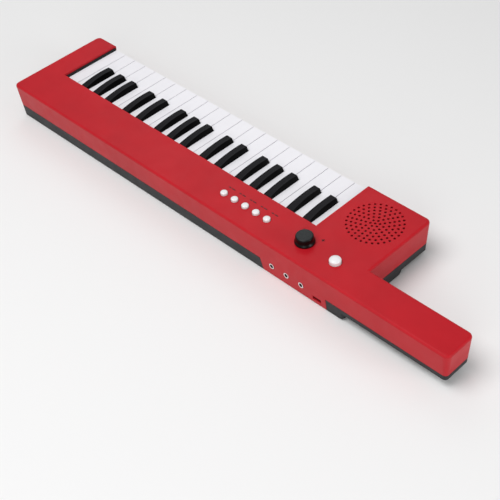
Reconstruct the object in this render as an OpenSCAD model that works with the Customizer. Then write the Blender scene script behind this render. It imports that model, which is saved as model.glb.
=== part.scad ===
// Hand-held electronic keyboard with a neck: 22 white and 15 black mini keys, a built-in speaker,
// a row of buttons and a volume knob. Millimetres. +X runs along the body to the tip of the neck,
// +Y points to the fronts of the keys, +Z is up. The origin is the middle of the resting face.

/* [Body] */
// Width of the block beyond the highest key
end_block_w = 27.7; // [24:0.1:32]
// Width of the block that holds the speaker
speaker_block_w = 69.3; // [66:0.1:76]
// Length of the neck beyond the speaker block
neck_len = 103.86; // [90:0.01:130]
// Width of the neck
neck_w = 32.8; // [30:0.1:36]
// Depth from the control side to the key fronts
body_depth = 112; // [108:1:118]
// Height of the body over the face it rests on
body_h = 38; // [37:0.5:40]
// Depth of the strip that carries the buttons
control_strip_w = 43.6; // [42:0.1:46]
// Thickness of the case walls
wall = 2.2; // [2:0.1:2.4]
// Radius of the upright corners at the top face
corner_r = 5.4; // [5.2:0.1:7]
// Radius of the rounding around the top face
edge_r = 2; // [1:0.1:2.4]
// Lean of the side walls, as inset per unit of height
draft = 0.078; // [0.04:0.001:0.08]
// Height of the joint line between the two halves of the case
seam_z = 13.5; // [13:0.1:14]
// Height of the rail in front of the keys
rail_top_z = 24.5; // [23:0.1:24.6]
// Height of the underside of the neck
neck_bottom_z = 8.5; // [8:0.1:9.5]

/* [Keys] */
// Spacing of the white keys
key_pitch = 15.87; // [15.5:0.01:16.2]
// Gap between two white keys
key_gap = 0.6; // [0.4:0.05:0.8]
// Extra gap between the outermost white keys and the case
end_gap = 0.9; // [0.9:0.1:1.2]
// Width of a black key
black_w = 8.6; // [8:0.1:9]
// Gap between a black key and the white keys beside it
black_gap = 0.4; // [0.35:0.05:0.6]
// Height of the white keys' top face
white_top_z = 33; // [32.6:0.1:33.2]
// Height of the black keys at their crown
black_top_z = 38.6; // [37.5:0.1:39.5]
// Place of the white keys' front edge
white_front_y = 55; // [54:0.1:55.2]
// Place of the black keys' front edge
black_front_y = 26; // [22:0.5:30]

/* [Controls] */
// Distance of the button row from the middle of the body
control_y = 34.5; // [34.2:0.1:35]
// Place of the first function button
button_x = 12.3; // [11:0.1:13]
// Spacing of the function buttons
button_pitch = 13.2; // [12.5:0.1:13.4]
// Diameter of a function button
button_d = 6.6; // [6.4:0.1:8.4]
// Place of the large button
big_button_x = 143.6; // [142:0.1:146]
// Diameter of the large button
big_button_d = 10.4; // [10:0.1:13]
// Place of the volume knob
knob_x = 108.4; // [107:0.1:109]
// Distance of the knob from the middle of the body
knob_y = 33.2; // [33:0.1:35]
// Diameter of the knob's flared base
knob_d = 17.8; // [17.2:0.1:20]
// Diameter of the knob at its top
knob_top_d = 15.6; // [14:0.1:16]
// Height of the knob's top over the case
knob_h = 8; // [7.8:0.1:12]

/* [Speaker] */
// Place of the middle of the grille along the body
speaker_x = 137.6; // [136:0.1:139]
// Place of the middle of the grille across the body
speaker_y = 22; // [20:0.1:23]
// Radius of the outer ring of grille holes
grille_r = 24.5; // [23:0.1:25]
// Number of rings of holes around the middle one
grille_rings = 6; // [4:1:6]
// Number of holes that each ring has more than the ring inside it
ring_growth = 5; // [4:1:5]
// Diameter of a grille hole
grille_hole_d = 2.4; // [1.8:0.1:2.5]

/* [Connectors] */
// Place of the first jack socket
jack_x = 88.4; // [87:0.1:90]
// Spacing of the jack sockets
jack_pitch = 17; // [16:0.1:17]
// Height of the jack sockets
jack_z = 12.4; // [12.2:0.1:12.6]
// Diameter of the hole that takes a plug
jack_bore_d = 3.6; // [3.5:0.1:3.7]
// Place of the charging socket
usb_x = 139.5; // [139:0.1:141]
// Height of the charging socket
usb_z = 6.2; // [6.1:0.05:6.25]

/* [Hidden] */
$fn = 64;
thin = 0.01;
over = 1;
white_count = 22;
key_count = 37;
keyboard_w = white_count * key_pitch;
total_len = end_block_w + keyboard_w + speaker_block_w + neck_len;

// plan of the body
x_end = -total_len / 2;
x_keys_high = x_end + end_block_w;
x_keys_low = x_keys_high + keyboard_w;
x_neck = x_keys_low + speaker_block_w;
x_tip = total_len / 2;
y_rear = -body_depth / 2;
y_front = body_depth / 2;
y_opening = y_rear + control_strip_w;
y_neck = y_rear + neck_w;

// heights
foot_h = 0.8;
case_z = foot_h;
floor_z = case_z + wall;
ceiling_z = body_h - wall;
seam_gap = 0.3;
fit_gap = 0.02;
loose_gap = 0.2;
corner_fn = 32;

// skirt of the upper half around the sockets
skirt_x0 = 74;
skirt_slant = 3;
skirt_x1 = 149.7;
skirt_depth = draft * body_h + wall + 0.1;

// curved end of the deep body under the root of the neck
root_x = 162;
root_run = 12;
neck_x0 = root_x - 30;
root_rise = neck_bottom_z - case_z;
root_r = (root_run * root_run + root_rise * root_rise) / (2 * root_rise);

// raised corner of the underside, at the front of the speaker block
raised_x = 127;
raised_y = 20;
raised_run = 3.5;
raised_h = 4.3;

// walls around the keyboard opening
cheek_bottom_z = 17;
cheek_y1 = y_front - 3;
lip_bottom_z = 34.3;
lip_w = 2.4;

// keys: a note's place in the octave gives its white key and the offset of a black key
NOTE_NAMES = ["c", "c_sharp", "d", "d_sharp", "e", "f", "f_sharp", "g", "g_sharp", "a", "a_sharp", "b"];
WHITE_BELOW = [0, 0, 1, 1, 2, 3, 3, 4, 4, 5, 5, 6];
BLACK_OFFSET = [0, 1.9, 0, -1.9, 0, 0, 2.5, 0, 0, 0, -2.5, 0];
BLACK_NOTES = [1, 3, 6, 8, 10];
plate_t = 2.2;
lip_t = 1.8;
rib_t = 1.4;
key_bottom_z = 28.5;
pivot_y = -24;
pivot_z = 28;
rod_r = 1.2;
rod_clearance = 0.05;
hub_r = 3.2;
white_rear_y = pivot_y + 8;
white_arm_w = 6.4;
black_arm_w = 7.4;
arm_z0 = 27;
arm_z1 = 32.2;
arm_front_y = y_opening + 3;
rod_x0 = x_keys_high - 2.7;
rod_x1 = x_keys_low + 2.1;
black_crown_y = 14;
black_crown = 0.0054;
black_front_slope = 0.9;
black_taper = 1.1;
black_rear_y = y_opening + 0.4;
black_bottom_z = 29.5;
black_hollow_z = black_top_z - 5;
plunger_w = 5;
plunger_y0 = 4;
plunger_y1 = 12;
plunger_z = 22.3;

// key contacts and the frame that carries the keys
bed_z = 14;
bed_t = 2.4;
bed_y0 = -28;
bed_y1 = 50;
liner_t = 0.8;
liner_gap = 0.1;
liner_top_z = 35.7;
liner_step_z = 25;
liner_y0 = y_opening + 0.3;
liner_y1 = y_front - 1.4;
saddle_t = 1.6;
saddle_y0 = -28;
saddle_y1 = -20;
saddle_top_z = 31.4;
SADDLE_AT = [3, 7, 10, 14, 17, 21];
leg_r = 4;
LEG_X = [-230, -95, 0, 90];
LEG_Y = [-15, 42];
contact_y0 = -4;
contact_y1 = 22;
contact_in = 2;
strip_in = 3;
board_t = 1.6;
dome_base_t = 0.8;
dome_r = 4;
dome_top_r = 3;
dome_h = 3;

// control board and the pieces on it
panel_x0 = 2;
panel_x1 = 158;
panel_y0 = -52;
panel_y1 = -28.8;
panel_z = 24.4;
panel_post_in = 4;
panel_post_r = 2;
switch_w = 6;
switch_h = 4;
switch_tip_r = 1.7;
switch_tip_h = 0.8;
button_hole_gap = 0.35;
button_flange = 1.1;
button_flange_t = 1.8;
button_flange_z = 33.5;
button_stem_r = 1.6;
button_stem_h = 1.3;
button_rise = 3;
big_button_rise = 4.8;
button_side_share = 0.5;
pot_w = 14;
pot_back = 7;
pot_front = 4.1;
pot_h = 6;
pot_floor_t = 0.9;
pot_gap = 0.05;
pot_bush_in = 0.4;
pot_bush_r = 3.7;
pot_shaft_r = 3;
shaft_top_z = body_h + 5.6;
knob_gap = 0.5;
knob_skirt_h = 1;
knob_flare_h = 2.6;
knob_flare = 0.25;
knob_round = 1.4;

// main board, sockets and cell
main_x0 = 79;
main_x1 = 149;
main_y0 = -50.2;
main_y1 = -20;
main_z = 8;
jack_count = 3;
jack_ring_r = 2.8;
jack_ring_out = 0.45;
jack_ring_gap = 0.1;
jack_body_gap = 0.3;
jack_body_w = 7;
jack_body_h = 5.8;
jack_body_y1 = -40;
jack_bore_len = 13;
usb_w = 9;
usb_h = 3.5;
usb_lip = 0.5;
usb_len = 8;
usb_back_t = 1.5;
usb_tongue_w = 5;
usb_tongue_t = 0.8;
usb_tongue_in = 1;
usb_recess = 1.6;
cell_size = [64, 36, 8];
cell_x = -138;
cell_y = -2;

// speaker driver and the thinner wall above it
grille_t = 1.1;
grille_recess_r = 25.2;
driver_r = 26;
driver_h = 18;
driver_rim_t = 1.8;
magnet_r = 14;
magnet_h = 7;
basket_r = 20;
basket_z = 9;
dust_cap_r = 8;
dust_cap_z = 10.5;

// screws: place, height of the head's seat
SCREWS = [[-258, -30, 6], [-258, 30, 6], [-120, -44, 6], [-25, -46, 6], [112, 46, 6],
    [160, -12, 6], [190, -39.6, 11.2], [262, -39.6, 11.2]];
screw_r = 1.5;
screw_head_r = 2.7;
screw_head_t = 2;
screw_len = 14;
cross_size = [3.2, 0.7, 2];
pillar_r = 4.2;
boss_r = 3.6;
counterbore_r = 3;
boss_z = seam_z + 0.4;

FEET = [[-262, -44], [-262, 44], [-60, -46], [-60, 46], [92, 46], [152, -44]];
foot_r = 5;
foot_recess = 0.2;
foot_gap = 0.1;

// ---- names ----
function is_black(i) = len(search(i % 12, BLACK_NOTES)) > 0;
function key_number(i) = i < 9 ? str("0", i + 1) : str(i + 1);
function key_name(i) = str("key_", key_number(i), "_", NOTE_NAMES[i % 12]);
function button_name(i) = str("button_", i + 1);

// ---- shared shapes ----
function slot_x(k) = x_keys_low - k * key_pitch;
function white_slot(i) = 7 * floor(i / 12) + WHITE_BELOW[i % 12];
function black_x(i) = slot_x(white_slot(i) + 1) + BLACK_OFFSET[i % 12];
function has_black_below(i) = i > 0 && is_black(i - 1);
function has_black_above(i) = i < key_count - 1 && is_black(i + 1);
function white_x0(i) = slot_x(white_slot(i) + 1) + key_gap / 2 + (i == key_count - 1 ? end_gap : 0);
function white_x1(i) = slot_x(white_slot(i)) - key_gap / 2 - (i == 0 ? end_gap : 0);
function narrow_x0(i) = has_black_above(i) ? black_x(i + 1) + black_w / 2 + black_gap : white_x0(i);
function narrow_x1(i) = has_black_below(i) ? black_x(i - 1) - black_w / 2 - black_gap : white_x1(i);
function key_mid_x(i) = is_black(i) ? black_x(i) : (narrow_x0(i) + narrow_x1(i)) / 2;
function wall_inset(z) = draft * max(0, body_h - edge_r - z);

module box(a, b) {
    translate(a) cube(b - a);
}

// a block whose walls lean inwards towards the bottom, rounded around its top face
module drafted_block(a, b, inset, round_r) {
    round_steps = round_r > 0 ? [0:30:90] : [90];
    levels = concat([[a[2], 0]],
        [for (t = round_steps) [b[2] - round_r * (1 - sin(t)), round_r * (1 - cos(t))]]);
    corners_x = [a[0] + corner_r, b[0] - corner_r];
    corners_y = [a[1] + corner_r, b[1] - corner_r];
    hull()
        for (k = [1:len(levels) - 1], x = corners_x, y = corners_y) {
            low = levels[k - 1];
            high = levels[k];
            low_r = corner_r - inset - low[1] - wall_inset(low[0]);
            high_r = corner_r - inset - high[1] - wall_inset(high[0]);
            translate([x, y, low[0]])
                cylinder(r1 = low_r, r2 = high_r, h = high[0] - low[0], $fn = corner_fn);
        }
}

// the part of the underside that stays clear of the deep body, raised by t for its inner face
module underside_cut(t) {
    rotate([90, 0, 0])
        translate([0, 0, -y_neck - t])
            linear_extrude(neck_w + 2 * t + over)
                difference() {
                    translate([root_x, -over]) square([x_tip - root_x + over, neck_bottom_z + over + t]);
                    translate([root_x, case_z + root_r]) circle(root_r - t, $fn = 128);
                }
    rotate([90, 0, 90])
        translate([0, 0, raised_x - t])
            linear_extrude(x_neck + over - raised_x + t)
                polygon([[raised_y - raised_run - t, -over], [raised_y - t, case_z + raised_h + t],
                    [y_front + over, case_z + raised_h + t], [y_front + over, -over]]);
}

module case_outside() {
    difference() {
        union() {
            drafted_block([x_end, y_rear, case_z], [x_neck, y_front, body_h], 0, edge_r);
            drafted_block([neck_x0, y_rear, neck_bottom_z], [x_tip, y_neck, body_h], 0, edge_r);
        }
        underside_cut(0);
    }
}

module case_inside() {
    difference() {
        union() {
            drafted_block([x_end, y_rear, floor_z], [x_neck, y_front, ceiling_z], wall, 0);
            drafted_block([neck_x0, y_rear, neck_bottom_z + wall], [x_tip, y_neck, ceiling_z], wall, 0);
        }
        underside_cut(wall);
    }
}

// the region of the rear wall where the upper half reaches down to the underside
module skirt_region(gap) {
    rotate([90, 0, 0])
        translate([0, 0, -y_rear - skirt_depth - gap])
            linear_extrude(skirt_depth + gap + over)
                polygon([[skirt_x0 - gap, seam_z + over], [skirt_x0 + skirt_slant - gap, -over],
                    [skirt_x1 + gap, -over], [skirt_x1 + gap, seam_z + over]]);
}

module upper_region() {
    box([x_end - over, y_rear - over, seam_z + seam_gap / 2], [x_tip + over, y_front + over, body_h + over]);
    skirt_region(0);
}

module lower_region() {
    difference() {
        box([x_end - over, y_rear - over, 0], [x_tip + over, y_front + over, seam_z - seam_gap / 2]);
        skirt_region(seam_gap);
    }
}

// ---- case ----
module grille_holes() {
    ring_step = grille_r / grille_rings;
    for (ring = [0:grille_rings]) {
        n = 1 + ring * ring_growth;
        for (j = [0:n - 1])
            rotate([0, 0, 360 * j / n - 90]) translate([ring * ring_step, 0, 0])
                cylinder(d = grille_hole_d, h = wall + 2 * over, $fn = 24);
    }
}

module control_holes() {
    for (i = [0:4])
        translate([button_x + i * button_pitch, -control_y, ceiling_z - over])
            cylinder(r = button_d / 2 + button_hole_gap, h = wall + 2 * over);
    translate([big_button_x, -control_y, ceiling_z - over])
        cylinder(r = big_button_d / 2 + button_hole_gap, h = wall + 2 * over);
    translate([knob_x, -knob_y, ceiling_z - over])
        cylinder(r = pot_bush_r + loose_gap, h = wall + 2 * over);
}

module socket_holes() {
    for (i = [0:jack_count - 1])
        translate([jack_x + i * jack_pitch, y_rear - over, jack_z])
            rotate([-90, 0, 0]) cylinder(r = jack_ring_r + jack_ring_gap, h = skirt_depth + 2 * over);
    slot_w = usb_w / 2 + loose_gap;
    slot_h = usb_h / 2 + loose_gap;
    box([usb_x - slot_w, y_rear - over, usb_z - slot_h],
        [usb_x + slot_w, y_rear + skirt_depth + over, usb_z + slot_h]);
}

module screw_bosses() {
    for (s = SCREWS)
        translate([s[0], s[1], boss_z]) cylinder(r = boss_r, h = body_h - edge_r / 2 - boss_z);
    for (x = [panel_x0 + panel_post_in, panel_x1 - panel_post_in])
        translate([x, panel_y0 + panel_post_in, panel_z + board_t])
            cylinder(r = panel_post_r, h = ceiling_z - panel_z - board_t + wall / 2);
}

module top_case() {
    color("#C23238") difference() {
        union() {
            difference() {
                intersection() {
                    case_outside();
                    upper_region();
                }
                case_inside();
            }
            for (x = [x_keys_high - wall, x_keys_low])
                box([x, y_opening - lip_w, cheek_bottom_z], [x + wall, cheek_y1, body_h - wall / 2]);
            box([x_keys_high - wall, y_opening - lip_w, lip_bottom_z],
                [x_keys_low + wall, y_opening, body_h - wall / 2]);
            screw_bosses();
        }
        box([x_keys_high, y_opening, rail_top_z], [x_keys_low, y_front + over, body_h + over]);
        control_holes();
        socket_holes();
        translate([speaker_x, speaker_y, ceiling_z - over]) {
            grille_holes();
            cylinder(r = grille_recess_r, h = over + wall - grille_t);
        }
        for (s = SCREWS)
            translate([s[0], s[1], boss_z - over]) cylinder(r = screw_r + fit_gap, h = screw_len);
    }
}

module bottom_case() {
    color("#3C3E40") difference() {
        union() {
            difference() {
                intersection() {
                    case_outside();
                    lower_region();
                }
                case_inside();
            }
            for (s = SCREWS) {
                base_z = s[2] > 10 ? neck_bottom_z : case_z;
                translate([s[0], s[1], base_z]) cylinder(r = pillar_r, h = boss_z - 0.1 - base_z);
            }
        }
        for (s = SCREWS) {
            translate([s[0], s[1], -over]) cylinder(r = counterbore_r, h = s[2] + over);
            translate([s[0], s[1], 0]) cylinder(r = screw_r + loose_gap, h = boss_z + over);
        }
        for (f = FEET) translate([f[0], f[1], 0]) cylinder(r = foot_r + foot_gap, h = foot_h + foot_recess);
    }
}

module case_screws() {
    color("silver")
        for (s = SCREWS)
            translate([s[0], s[1], s[2]]) difference() {
                union() {
                    translate([0, 0, -screw_head_t]) cylinder(r = screw_head_r, h = screw_head_t);
                    cylinder(r = screw_r, h = screw_len);
                }
                for (turn = [0, 90])
                    rotate([0, 0, turn])
                        translate([0, 0, -screw_head_t]) cube(cross_size, center = true);
            }
}

module rubber_feet() {
    color("#202020")
        for (f = FEET) translate([f[0], f[1], 0]) cylinder(r = foot_r, h = foot_h + foot_recess);
}

// ---- keys ----
module key_hub(x, w) {
    box([x - w / 2, pivot_y, arm_z0], [x + w / 2, arm_front_y, arm_z1]);
    translate([x - w / 2, pivot_y, pivot_z]) rotate([0, 90, 0]) cylinder(r = hub_r, h = w);
    box([x - plunger_w / 2, plunger_y0, plunger_z], [x + plunger_w / 2, plunger_y1, white_top_z - plate_t]);
}

module rod_bore() {
    translate([rod_x0 - over, pivot_y, pivot_z]) rotate([0, 90, 0])
        cylinder(r = rod_r + rod_clearance, h = rod_x1 - rod_x0 + 2 * over);
}

module white_key(i) {
    x0 = white_x0(i);
    x1 = white_x1(i);
    n0 = narrow_x0(i);
    n1 = narrow_x1(i);
    notch_y = black_front_y + black_gap + loose_gap;
    color("#E6E4E8") difference() {
        union() {
            difference() {
                translate([0, 0, key_bottom_z])
                    linear_extrude(white_top_z - key_bottom_z)
                        polygon([[x0, white_front_y], [x1, white_front_y], [x1, notch_y], [n1, notch_y],
                            [n1, white_rear_y], [n0, white_rear_y], [n0, notch_y], [x0, notch_y]]);
                box([x0 + rib_t, notch_y + lip_t, key_bottom_z - over],
                    [x1 - rib_t, white_front_y - lip_t, white_top_z - plate_t]);
                box([n0 + rib_t, arm_front_y, key_bottom_z - over],
                    [n1 - rib_t, notch_y + lip_t + over, white_top_z - plate_t]);
            }
            key_hub(key_mid_x(i), white_arm_w);
        }
        rod_bore();
    }
}

function crown_z(y) = black_top_z - black_crown * (y - black_crown_y) * (y - black_crown_y);

module black_key(i) {
    x = black_x(i);
    half = black_w / 2;
    rise = black_top_z - black_bottom_z;
    crest_y = black_front_y - black_front_slope;
    crest_ys = [for (t = [1:-0.1:0]) black_rear_y + t * (crest_y - black_rear_y)];
    side_z = black_bottom_z + rise / 2;
    crest_half = half - black_taper;
    color("#1C1C1E") difference() {
        union() {
            intersection() {
                rotate([90, 0, 90]) translate([0, 0, x - half]) linear_extrude(black_w)
                    polygon(concat(
                        [[black_front_y, black_bottom_z], [black_front_y - 0.2, white_top_z]],
                        [for (y = crest_ys) [y, crown_z(y)]],
                        [[black_rear_y, black_bottom_z]]));
                rotate([90, 0, 0]) translate([x, 0, -black_front_y - over])
                    linear_extrude(black_front_y - black_rear_y + 2 * over)
                        polygon([[-half, black_bottom_z], [half, black_bottom_z], [half, side_z],
                            [crest_half, black_top_z + thin], [-crest_half, black_top_z + thin],
                            [-half, side_z]]);
            }
            key_hub(x, black_arm_w);
        }
        difference() {
            box([x - half + rib_t, arm_front_y, black_bottom_z - over],
                [x + half - rib_t, crest_y - lip_t, black_hollow_z]);
            box([x - plunger_w / 2, plunger_y0, plunger_z], [x + plunger_w / 2, plunger_y1, black_top_z]);
        }
        rod_bore();
    }
}

module key(i) {
    if (is_black(i)) black_key(i);
    else white_key(i);
}

module pivot_rod() {
    color("silver") translate([rod_x0, pivot_y, pivot_z]) rotate([0, 90, 0])
        cylinder(r = rod_r, h = rod_x1 - rod_x0);
}

module saddle(x) {
    box([x - saddle_t / 2, saddle_y0, bed_z + bed_t / 2], [x + saddle_t / 2, saddle_y1, saddle_top_z]);
}

// a thin dark wall between an outermost white key and the case
module liner(x) {
    box([x, liner_y0, bed_z + bed_t / 2], [x + liner_t, bed_y1, liner_top_z]);
    box([x, liner_y0, liner_step_z], [x + liner_t, liner_y1, liner_top_z]);
}

module keybed() {
    color("#55585C") difference() {
        union() {
            box([rod_x0, bed_y0, bed_z], [rod_x1, bed_y1, bed_z + bed_t]);
            for (k = SADDLE_AT) saddle(slot_x(k));
            saddle(rod_x0 + saddle_t / 2);
            saddle(rod_x1 - saddle_t / 2);
            liner(x_keys_high + liner_gap);
            liner(x_keys_low - liner_gap - liner_t);
            for (x = LEG_X, y = LEG_Y)
                translate([x, y, floor_z]) cylinder(r = leg_r, h = bed_z - floor_z + bed_t / 2);
        }
        translate([rod_x0 - over, pivot_y, pivot_z]) rotate([0, 90, 0])
            cylinder(r = rod_r + fit_gap, h = rod_x1 - rod_x0 + 2 * over);
    }
}

module contact_board() {
    color("#2E6B3E")
        box([x_keys_high + contact_in, contact_y0, bed_z + bed_t],
            [x_keys_low - contact_in, contact_y1, bed_z + bed_t + board_t]);
}

module contact_strip() {
    base_z = bed_z + bed_t + board_t;
    color("#B9BCC0") {
        box([x_keys_high + strip_in, contact_y0 + contact_in, base_z],
            [x_keys_low - strip_in, contact_y1 - contact_in, base_z + dome_base_t]);
        for (i = [0:key_count - 1])
            translate([key_mid_x(i), (plunger_y0 + plunger_y1) / 2, base_z + dome_base_t - thin])
                cylinder(r1 = dome_r, r2 = dome_top_r, h = dome_h, $fn = 32);
    }
}

// ---- controls ----
module button_cap(x, d, rise) {
    side_h = body_h - button_flange_z + rise * button_side_share;
    dome_rise = rise * (1 - button_side_share);
    color("#F2F1EF") translate([x, -control_y, button_flange_z]) {
        rotate_extrude()
            polygon(concat(
                [[0, 0], [d / 2 + button_flange, 0], [d / 2 + button_flange, button_flange_t],
                    [d / 2, button_flange_t]],
                [for (t = [0:10:90]) [d / 2 * cos(t), side_h + dome_rise * sin(t)]]));
        translate([0, 0, -button_stem_h]) cylinder(r = button_stem_r, h = button_stem_h + thin);
    }
}

module function_button(i) {
    button_cap(button_x + i * button_pitch, button_d, button_rise);
}

module big_button() {
    button_cap(big_button_x, big_button_d, big_button_rise);
}

module volume_knob() {
    z0 = body_h + knob_gap;
    top = knob_h - knob_gap;
    bore_r = pot_shaft_r + fit_gap;
    bore_top = shaft_top_z - z0 + loose_gap;
    top_r = knob_top_d / 2;
    color("#19191B") translate([knob_x, -knob_y, z0])
        rotate_extrude()
            polygon(concat(
                [[bore_r, 0], [knob_d / 2, 0], [knob_d / 2, knob_skirt_h],
                    [top_r + knob_flare, knob_flare_h]],
                [for (t = [0:15:90]) [top_r - knob_round * (1 - cos(t)), top - knob_round * (1 - sin(t))]],
                [[0, top], [0, bore_top], [bore_r, bore_top]]));
}

module pot_shaft() {
    z0 = panel_z + board_t + pot_floor_t + 0.1;
    color("#9A9CA0") translate([knob_x, -knob_y, z0]) cylinder(r = pot_shaft_r, h = shaft_top_z - z0);
}

module potentiometer() {
    z0 = panel_z + board_t;
    color("#B0B2B4") translate([knob_x, -knob_y, z0]) difference() {
        union() {
            box([-pot_w / 2, -pot_back, 0], [pot_w / 2, pot_front, pot_h]);
            cylinder(r = pot_bush_r, h = body_h - pot_bush_in - z0);
        }
        translate([0, 0, pot_floor_t]) cylinder(r = pot_shaft_r + pot_gap, h = body_h);
    }
}

module control_board() {
    color("#2E6B3E") {
        box([panel_x0, panel_y0, panel_z], [panel_x1, panel_y1, panel_z + board_t]);
        for (x = concat([for (i = [0:4]) button_x + i * button_pitch], [big_button_x]))
            translate([x, -control_y, panel_z + board_t - thin]) {
                box([-switch_w / 2, -switch_w / 2, 0], [switch_w / 2, switch_w / 2, switch_h]);
                translate([0, 0, switch_h - thin]) cylinder(r = switch_tip_r, h = switch_tip_h);
            }
    }
}

// ---- sockets, main board, cell and speaker ----
module main_board() {
    color("#2E6B3E") box([main_x0, main_y0, main_z], [main_x1, main_y1, main_z + board_t]);
}

module jack_sockets() {
    y_face = y_rear + wall_inset(jack_z) - jack_ring_out;
    y_wall = y_rear + wall_inset(jack_z) + wall + jack_body_gap;
    color("#C8CACC")
        for (i = [0:jack_count - 1])
            translate([jack_x + i * jack_pitch, 0, 0]) difference() {
                union() {
                    translate([0, y_face, jack_z]) rotate([-90, 0, 0])
                        cylinder(r = jack_ring_r, h = y_wall - y_face + thin);
                    box([-jack_body_w / 2, y_wall, main_z + board_t],
                        [jack_body_w / 2, jack_body_y1, main_z + board_t + jack_body_h]);
                }
                translate([0, y_face - over, jack_z]) rotate([-90, 0, 0])
                    cylinder(d = jack_bore_d, h = jack_bore_len + over);
            }
}

module usb_socket() {
    y_face = y_rear + wall_inset(usb_z) + usb_recess;
    half_w = usb_w / 2 - usb_lip;
    half_h = usb_h / 2 - usb_lip;
    color("#1E1E20") translate([usb_x, y_face, usb_z]) difference() {
        box([-usb_w / 2, 0, -usb_h / 2], [usb_w / 2, usb_len, main_z - usb_z]);
        difference() {
            box([-half_w, -over, -half_h], [half_w, usb_len - usb_back_t, half_h]);
            box([-usb_tongue_w / 2, usb_tongue_in, -usb_tongue_t / 2],
                [usb_tongue_w / 2, usb_len, usb_tongue_t / 2]);
        }
    }
}

module rechargeable_cell() {
    color("#3F77B5") translate([cell_x, cell_y, floor_z + cell_size[2] / 2]) cube(cell_size, center = true);
}

module speaker() {
    rim_z = driver_h - driver_rim_t;
    color("#2A2A2C") translate([speaker_x, speaker_y, ceiling_z - driver_h])
        rotate_extrude()
            polygon([[0, 0], [magnet_r, 0], [magnet_r, magnet_h], [basket_r, basket_z],
                [driver_r - 2, rim_z], [driver_r, rim_z], [driver_r, driver_h], [driver_r - 3, driver_h],
                [driver_r - 5, driver_h - 1.2], [dust_cap_r, dust_cap_z], [0, dust_cap_z + 2]]);
}

// ---- drawing ----
for (i = [0:key_count - 1]) key(i);
for (i = [0:4]) function_button(i);
big_button();
volume_knob();
pot_shaft();
potentiometer();
top_case();
bottom_case();
keybed();
pivot_rod();
contact_strip();
contact_board();
control_board();
main_board();
speaker();
jack_sockets();
usb_socket();
rechargeable_cell();
case_screws();
rubber_feet();
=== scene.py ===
"""Looks of the keytar keyboard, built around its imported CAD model. Metres; the CAD's own frame."""

import math

import bmesh
import bpy
from mathutils import Matrix, Vector


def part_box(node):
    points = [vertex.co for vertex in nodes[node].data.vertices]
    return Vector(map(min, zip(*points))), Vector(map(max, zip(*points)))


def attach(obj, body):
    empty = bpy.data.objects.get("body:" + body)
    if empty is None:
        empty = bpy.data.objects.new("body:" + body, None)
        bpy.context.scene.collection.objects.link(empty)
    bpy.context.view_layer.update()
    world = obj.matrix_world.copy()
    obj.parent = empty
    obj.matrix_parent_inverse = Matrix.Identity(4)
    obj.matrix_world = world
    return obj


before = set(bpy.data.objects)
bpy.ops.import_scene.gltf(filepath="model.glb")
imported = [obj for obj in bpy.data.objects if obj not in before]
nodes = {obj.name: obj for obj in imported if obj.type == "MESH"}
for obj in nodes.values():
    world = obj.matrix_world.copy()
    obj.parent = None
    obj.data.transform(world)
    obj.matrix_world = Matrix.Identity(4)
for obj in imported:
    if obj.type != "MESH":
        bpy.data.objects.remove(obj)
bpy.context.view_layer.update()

MM = 0.001
CASE = "case"

# scales of the noises, in features per metre
COLOR_DRIFT = 28
ROUGHNESS_DRIFT = 90
METAL_STREAKS = 600
METAL_TONE = 200
TOP_GRAIN = 2400

# ---- places taken from the frame ----
TOP_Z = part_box("top_case")[1].z
KEYS = sorted(name for name in nodes if name.startswith("key_"))
WHITE_KEYS = [name for name in KEYS if "sharp" not in name]
BLACK_KEYS = [name for name in KEYS if "sharp" in name]
BUTTONS = sorted(name for name in nodes if name.startswith("button_"))


def middle(name):
    low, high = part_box(name)
    return (low + high) / 2


# ---- node materials ----
def new_material(name, color, roughness, specular=0.5, metallic=0.0):
    mat = bpy.data.materials.new(name)
    mat.use_nodes = True
    shader = mat.node_tree.nodes["Principled BSDF"]
    shader.inputs["Base Color"].default_value = (*color, 1)
    shader.inputs["Roughness"].default_value = roughness
    shader.inputs["Specular IOR Level"].default_value = specular
    shader.inputs["Metallic"].default_value = metallic
    return mat, mat.node_tree, shader


def object_noise(tree, scale, detail=3.0, stretch=(1, 1, 1)):
    coords = tree.nodes.new("ShaderNodeTexCoord")
    mapping = tree.nodes.new("ShaderNodeMapping")
    mapping.inputs["Scale"].default_value = stretch
    noise = tree.nodes.new("ShaderNodeTexNoise")
    noise.inputs["Scale"].default_value = scale
    noise.inputs["Detail"].default_value = detail
    tree.links.new(coords.outputs["Object"], mapping.inputs["Vector"])
    tree.links.new(mapping.outputs["Vector"], noise.inputs["Vector"])
    return noise.outputs["Fac"]


def ramp(tree, fac, low, high, start=0.3, end=0.7):
    node = tree.nodes.new("ShaderNodeValToRGB")
    node.color_ramp.elements[0].position = start
    node.color_ramp.elements[1].position = end
    node.color_ramp.elements[0].color = (*low, 1)
    node.color_ramp.elements[1].color = (*high, 1)
    tree.links.new(fac, node.inputs["Fac"])
    return node.outputs["Color"]


def spread(tree, fac, low, high, start=0.3, end=0.7):
    node = tree.nodes.new("ShaderNodeMapRange")
    for key, value in (("From Min", start), ("From Max", end), ("To Min", low), ("To Max", high)):
        node.inputs[key].default_value = value
    tree.links.new(fac, node.inputs["Value"])
    return node.outputs["Result"]


def add_bump(tree, shader, fac, distance, strength=1.0):
    bump = tree.nodes.new("ShaderNodeBump")
    bump.inputs["Distance"].default_value = distance
    bump.inputs["Strength"].default_value = strength
    tree.links.new(fac, bump.inputs["Height"])
    tree.links.new(bump.outputs["Normal"], shader.inputs["Normal"])


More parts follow.
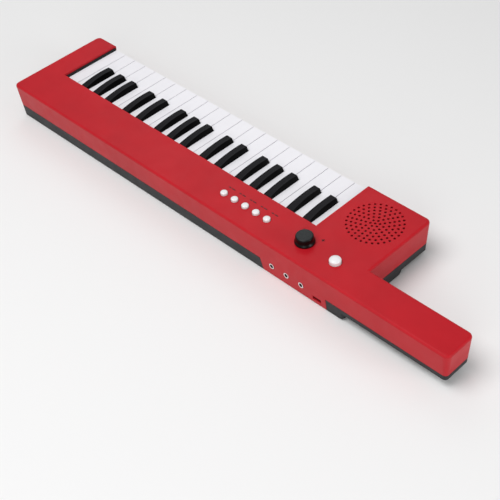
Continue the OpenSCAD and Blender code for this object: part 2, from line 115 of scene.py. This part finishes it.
def plastic(name, color, roughness, grain_mm, bump_mm, vary=0.06, rough_vary=0.05, specular=0.5):
    """Moulded plastic: a fine grain in the relief, and slow drifts of colour and roughness."""
    mat, tree, shader = new_material(name, color, roughness, specular)
    drift = object_noise(tree, COLOR_DRIFT, 4.0)
    low = [c * (1 - vary) for c in color]
    high = [min(1, c * (1 + vary)) for c in color]
    tree.links.new(ramp(tree, drift, low, high), shader.inputs["Base Color"])
    rough_drift = object_noise(tree, ROUGHNESS_DRIFT, 4.0)
    rough = spread(tree, rough_drift, roughness - rough_vary, roughness + rough_vary)
    tree.links.new(rough, shader.inputs["Roughness"])
    add_bump(tree, shader, object_noise(tree, 1 / (grain_mm * MM), 2.0), bump_mm * MM)
    return mat


def metal(name, color, roughness, stretch=(1, 1, 1)):
    mat, tree, shader = new_material(name, color, roughness, 0.5, 1.0)
    streaks = object_noise(tree, METAL_STREAKS, 3.0, stretch)
    tree.links.new(spread(tree, streaks, roughness - 0.05, roughness + 0.08), shader.inputs["Roughness"])
    tone = ramp(tree, object_noise(tree, METAL_TONE), [c * 0.9 for c in color], color)
    tree.links.new(tone, shader.inputs["Base Color"])
    add_bump(tree, shader, streaks, 0.01 * MM)
    return mat


# part of a face's direction that points up, below which it counts as a side with painted shade and above
# which as a top with painted light
SHADED_SIDE_FACING = 0.72
LIT_TOP_FACING = 0.93


def paint_lit_top_shaded_sides(mat, top, side):
    """A lighter textured top over darker sides, told apart by the way a face points: the grain on the top
    is a real texture, while the lighter top and the darker sides are painted light and painted shade.
    """
    tree = mat.node_tree
    shader = tree.nodes["Principled BSDF"]
    split = tree.nodes.new("ShaderNodeSeparateXYZ")
    coords = tree.nodes.new("ShaderNodeTexCoord")
    tree.links.new(coords.outputs["Normal"], split.inputs["Vector"])
    # mask for painted light and shade: 1 on faces that point up, which get the painted light of the top, 0
    # on the sides, which get the painted shade
    painted_light_mask = spread(tree, split.outputs["Z"], 0.0, 1.0, SHADED_SIDE_FACING, LIT_TOP_FACING)
    mix = tree.nodes.new("ShaderNodeMixRGB")
    mix.inputs["Color1"].default_value = (*side, 1)
    tree.links.new(painted_light_mask, mix.inputs["Fac"])
    dark = [c * 0.6 for c in top]
    light = [c * 1.4 for c in top]
    grain = ramp(tree, object_noise(tree, TOP_GRAIN, 2.0), dark, light, 0.35, 0.65)
    tree.links.new(grain, mix.inputs["Color2"])
    tree.links.new(mix.outputs["Color"], shader.inputs["Base Color"])


BLEND_MM = 0.05
SOCKET_BLACK = (0.006, 0.006, 0.006, 1)


def ring_metal(name, face_y, ring_mm):
    """Nickel for the front ring of a socket, black plastic deeper than ring_mm behind its face."""
    mat = metal(name, (0.86, 0.86, 0.86), 0.16)
    tree = mat.node_tree
    shader = tree.nodes["Principled BSDF"]
    split = tree.nodes.new("ShaderNodeSeparateXYZ")
    coords = tree.nodes.new("ShaderNodeTexCoord")
    tree.links.new(coords.outputs["Object"], split.inputs["Vector"])
    edge = face_y + ring_mm * MM
    deep = spread(tree, split.outputs["Y"], 0.0, 1.0, edge, edge + BLEND_MM * MM)
    shine = spread(tree, deep, 1.0, 0.0, 0, 1)
    tree.links.new(shine, shader.inputs["Metallic"])
    mix = tree.nodes.new("ShaderNodeMixRGB")
    tree.links.new(deep, mix.inputs["Fac"])
    tree.links.new(shader.inputs["Base Color"].links[0].from_socket, mix.inputs["Color1"])
    mix.inputs["Color2"].default_value = SOCKET_BLACK
    tree.links.new(mix.outputs["Color"], shader.inputs["Base Color"])
    return mat


RED = plastic("red_satin", (0.48, 0.009, 0.017), roughness=0.38, grain_mm=0.35, bump_mm=0.006,
              vary=0.06, rough_vary=0.05, specular=0.2)
DARK = plastic("dark_moulded", (0.020, 0.022, 0.024), roughness=0.5, grain_mm=0.5, bump_mm=0.02,
               vary=0.10, rough_vary=0.06, specular=0.25)
WHITE = plastic("white_key", (0.86, 0.85, 0.89), roughness=0.34, grain_mm=0.9, bump_mm=0.003,
                vary=0.012, rough_vary=0.015)
BLACK = plastic("black_key", (0.004, 0.004, 0.004), roughness=0.38, grain_mm=0.3, bump_mm=0.012,
                vary=0.12, rough_vary=0.06, specular=0.06)
# the black keys get painted light on their tops and painted shade on their sides
paint_lit_top_shaded_sides(BLACK, top=(0.014, 0.014, 0.016), side=(0.0008, 0.0008, 0.0008))
BUTTON = plastic("white_button", (0.82, 0.82, 0.83), roughness=0.22, grain_mm=1.2, bump_mm=0.002,
                 vary=0.01, rough_vary=0.03)
KNOB = plastic("black_knob", (0.006, 0.007, 0.008), roughness=0.32, grain_mm=0.35, bump_mm=0.012,
               vary=0.12, rough_vary=0.06, specular=0.2)
# the knob gets painted light on its top and painted shade on its sides
paint_lit_top_shaded_sides(KNOB, top=(0.020, 0.023, 0.024), side=(0.002, 0.002, 0.002))
FRAME = plastic("black_moulded", (0.012, 0.012, 0.013), roughness=0.6, grain_mm=0.5, bump_mm=0.02,
                specular=0.25)
SILICONE = plastic("silicone", (0.50, 0.51, 0.52), roughness=0.7, grain_mm=0.6, bump_mm=0.01)
BOARD = plastic("circuit_board", (0.02, 0.13, 0.05), roughness=0.42, grain_mm=0.8, bump_mm=0.01,
                vary=0.2)
SPEAKER = plastic("speaker_black", (0.004, 0.004, 0.005), roughness=0.85, grain_mm=0.6, bump_mm=0.03,
                  vary=0.15, specular=0.2)
CELL = plastic("cell_wrap", (0.04, 0.16, 0.42), roughness=0.35, grain_mm=1.0, bump_mm=0.006)
RUBBER = plastic("rubber", (0.015, 0.015, 0.015), roughness=0.85, grain_mm=0.4, bump_mm=0.03, vary=0.15)
PRINT = plastic("printed_mark", (0.07, 0.006, 0.009), roughness=0.5, grain_mm=0.4, bump_mm=0.002,
                vary=0.1)
STEEL = metal("steel", (0.62, 0.62, 0.63), roughness=0.3, stretch=(0.05, 1, 1))
NICKEL = ring_metal("jack_nickel", face_y=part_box("jack_sockets")[0].y, ring_mm=0.5)

NODE_MATERIALS = {
    "top_case": RED, "bottom_case": DARK, "keybed": FRAME, "pivot_rod": STEEL,
    "contact_strip": SILICONE, "contact_board": BOARD, "control_board": BOARD, "main_board": BOARD,
    # the usb socket, a metal part, takes the speaker's black here as painted shade in its recess
    "speaker": SPEAKER, "jack_sockets": NICKEL, "usb_socket": SPEAKER, "rechargeable_cell": CELL,
    "potentiometer": STEEL, "pot_shaft": STEEL, "case_screws": STEEL, "rubber_feet": RUBBER,
    "big_button": BUTTON, "volume_knob": KNOB,
}
NODE_MATERIALS.update({name: WHITE for name in WHITE_KEYS})
NODE_MATERIALS.update({name: BLACK for name in BLACK_KEYS})
NODE_MATERIALS.update({name: BUTTON for name in BUTTONS})


# ---- finish of the carried-over CAD nodes ----
def set_material(obj, mat):
    obj.data.materials.clear()
    obj.data.materials.append(mat)


FLAT_ANGLE = math.radians(0.6)
SHARP_ANGLE = math.radians(35)


def soften(obj, width_mm, segments=3):
    """Joins the flat triangles of a CAD mesh, rounds its sharp edges and shades it smoothly."""
    flat = obj.modifiers.new("flat_faces", "DECIMATE")
    flat.decimate_type = "DISSOLVE"
    flat.angle_limit = FLAT_ANGLE
    bevel = obj.modifiers.new("rounded_edges", "BEVEL")
    bevel.width = width_mm * MM
    bevel.segments = segments
    bevel.limit_method = "ANGLE"
    bevel.angle_limit = SHARP_ANGLE
    bevel.harden_normals = False
    obj.data.shade_smooth()
    normals = obj.modifiers.new("face_normals", "WEIGHTED_NORMAL")
    normals.keep_sharp = True
    normals.weight = 90


EDGE_MM = {"top_case": 0.45, "bottom_case": 0.5, "big_button": 0.25, "volume_knob": 0.3}
EDGE_MM.update({name: 0.45 for name in WHITE_KEYS})
EDGE_MM.update({name: 0.5 for name in BLACK_KEYS})
EDGE_MM.update({name: 0.2 for name in BUTTONS})
HIDDEN_EDGE_MM = 0.12

for name, obj in nodes.items():
    set_material(obj, NODE_MATERIALS[name])
    if name in EDGE_MM:
        soften(obj, EDGE_MM[name])
    else:
        soften(obj, HIDDEN_EDGE_MM, segments=2)


# ---- small pieces of our own ----
def mesh_object(name, bm, mat, body):
    """An object from a finished bmesh, which moves with the body and takes the given material."""
    mesh = bpy.data.meshes.new(name)
    bm.normal_update()
    bm.to_mesh(mesh)
    bm.free()
    obj = bpy.data.objects.new(name, mesh)
    bpy.context.scene.collection.objects.link(obj)
    set_material(obj, mat)
    mesh.shade_smooth()
    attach(obj, body)


# printed marks: places are from the middle of the button or knob beside them
PRINT_MM = 0.03
ROUND_STEPS = 6
DASH_LENGTHS_MM = (3.0, 4.2)
DASH_START_MM = -2.0
DASH_GAP_MM = 0.8
DASH_Y_MM = 9.4
DASH_WIDTH_MM = 1.1
SIGN_X_MM = 10.3
SIGN_Y_MM = 11.3
SIGN_MM = 3.4
SIGN_WIDTH_MM = 0.9

# dust cloth: depth of its underside below the case's top face, its thickness and its inset from the speaker
CLOTH_DEPTH_MM = 1.2
CLOTH_MM = 0.06
CLOTH_INSET_MM = 1.0


def bar(bm, x, y, length, width, upright=False):
    """A printed bar with round ends that lies on the top face."""
    outline = []
    for side in (1, -1):
        for k in range(ROUND_STEPS + 1):
            a = math.radians(-90 + 180 * k / ROUND_STEPS)
            along = side * (length / 2 - width / 2 + width / 2 * math.cos(a))
            across = side * width / 2 * math.sin(a)
            outline.append((x - across, y + along) if upright else (x + along, y + across))
    low = [bm.verts.new((px, py, TOP_Z - PRINT_MM * MM)) for px, py in outline]
    high = [bm.verts.new((px, py, TOP_Z + PRINT_MM * MM)) for px, py in outline]
    bm.faces.new(high)
    bm.faces.new(low[::-1])
    for k, corner in enumerate(low):
        n = (k + 1) % len(low)
        bm.faces.new((corner, low[n], high[n], high[k]))


def printed_marks():
    """Plain dashes beside the function buttons, and a minus and a plus beside the knob."""
    bm = bmesh.new()
    for name in BUTTONS:
        place = middle(name)
        x = place.x + DASH_START_MM * MM
        for length in DASH_LENGTHS_MM:
            bar(bm, x, place.y + DASH_Y_MM * MM, length * MM, DASH_WIDTH_MM * MM)
            x += (sum(DASH_LENGTHS_MM) / 2 + DASH_GAP_MM) * MM
    knob = middle("volume_knob")
    minus_x = knob.x - SIGN_X_MM * MM
    plus_x = knob.x + SIGN_X_MM * MM
    y = knob.y + SIGN_Y_MM * MM
    bar(bm, minus_x, y, SIGN_MM * MM, SIGN_WIDTH_MM * MM)
    bar(bm, plus_x, y, SIGN_MM * MM, SIGN_WIDTH_MM * MM)
    bar(bm, plus_x, y, SIGN_MM * MM, SIGN_WIDTH_MM * MM, upright=True)
    mesh_object("printed_marks", bm, PRINT, CASE)


def speaker_cloth():
    """The dark dust cloth between the grille and the speaker."""
    place = middle("speaker")
    low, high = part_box("speaker")
    radius = (high.x - low.x) / 2 - CLOTH_INSET_MM * MM
    bm = bmesh.new()
    bmesh.ops.create_circle(bm, cap_ends=True, radius=radius, segments=64)
    extruded = bmesh.ops.extrude_face_region(bm, geom=bm.faces[:])["geom"]
    top = [part for part in extruded if isinstance(part, bmesh.types.BMVert)]
    bmesh.ops.translate(bm, verts=top, vec=(0, 0, CLOTH_MM * MM))
    bmesh.ops.recalc_face_normals(bm, faces=bm.faces[:])
    bm.transform(Matrix.Translation((place.x, place.y, TOP_Z - CLOTH_DEPTH_MM * MM)))
    mesh_object("speaker_cloth", bm, SPEAKER, CASE)


printed_marks()
speaker_cloth()


# ---- floor, light and camera ----
FLOOR_SIZE = 20


def add_floor():
    bm = bmesh.new()
    bmesh.ops.create_grid(bm, x_segments=1, y_segments=1, size=FLOOR_SIZE)
    mesh = bpy.data.meshes.new("floor")
    bm.to_mesh(mesh)
    bm.free()
    floor = bpy.data.objects.new("floor", mesh)
    bpy.context.scene.collection.objects.link(floor)
    floor.data.materials.append(new_material("floor", (0.86, 0.86, 0.86), 0.9, 0.1)[0])


def add_area(name, place, target, size, watts):
    light = bpy.data.lights.new(name, "AREA")
    light.shape = "DISK"
    light.size = size
    light.energy = watts
    obj = bpy.data.objects.new(name, light)
    bpy.context.scene.collection.objects.link(obj)
    obj.location = place
    obj.rotation_euler = (Vector(target) - Vector(place)).to_track_quat("-Z", "Y").to_euler()


def add_world(strength):
    world = bpy.data.worlds.new("studio")
    world.use_nodes = True
    background = world.node_tree.nodes["Background"]
    background.inputs["Color"].default_value = (1, 1, 1, 1)
    background.inputs["Strength"].default_value = strength
    bpy.context.scene.world = world


# angles in degrees, distance and target in metres, lens in millimetres
CAMERA = {
    "azimuth": 49.416, "elevation": 43.441, "roll": -5.907, "distance": 0.93466,
    "target": (0.068676, -0.059728, 0.023), "lens": 79.294,
}


def add_camera():
    az, el, roll = (math.radians(CAMERA[k]) for k in ("azimuth", "elevation", "roll"))
    back = Vector((math.sin(az) * math.cos(el), -math.cos(az) * math.cos(el), math.sin(el)))
    level = Vector((math.cos(az), math.sin(az), 0))
    up = back.cross(level)
    right = math.cos(roll) * level + math.sin(roll) * up
    upright = -math.sin(roll) * level + math.cos(roll) * up
    data = bpy.data.cameras.new("camera")
    data.sensor_width = 36
    data.lens = CAMERA["lens"]
    data.clip_start = 0.01
    camera = bpy.data.objects.new("camera", data)
    place = Vector(CAMERA["target"]) + back * CAMERA["distance"]
    turn = Matrix((right, upright, back)).transposed().to_4x4()
    camera.matrix_world = Matrix.Translation(place) @ turn
    bpy.context.scene.collection.objects.link(camera)
    bpy.context.scene.camera = camera


add_floor()
add_world(0.3)
add_area("key_light", (-0.2, -0.6, 1.6), (0, 0, 0), 1.3, 19)
add_area("fill_light", (0.9, -1.3, 0.7), (0.1, 0, 0), 1.0, 6)
add_area("back_light", (-0.9, 0.8, 1.1), (0, 0, 0), 0.9, 2)
add_area("side_light", (1.5, 0.25, 0.4), (0.1, 0, 0), 0.7, 6)
add_camera()
bpy.context.scene.view_settings.view_transform = "Standard"
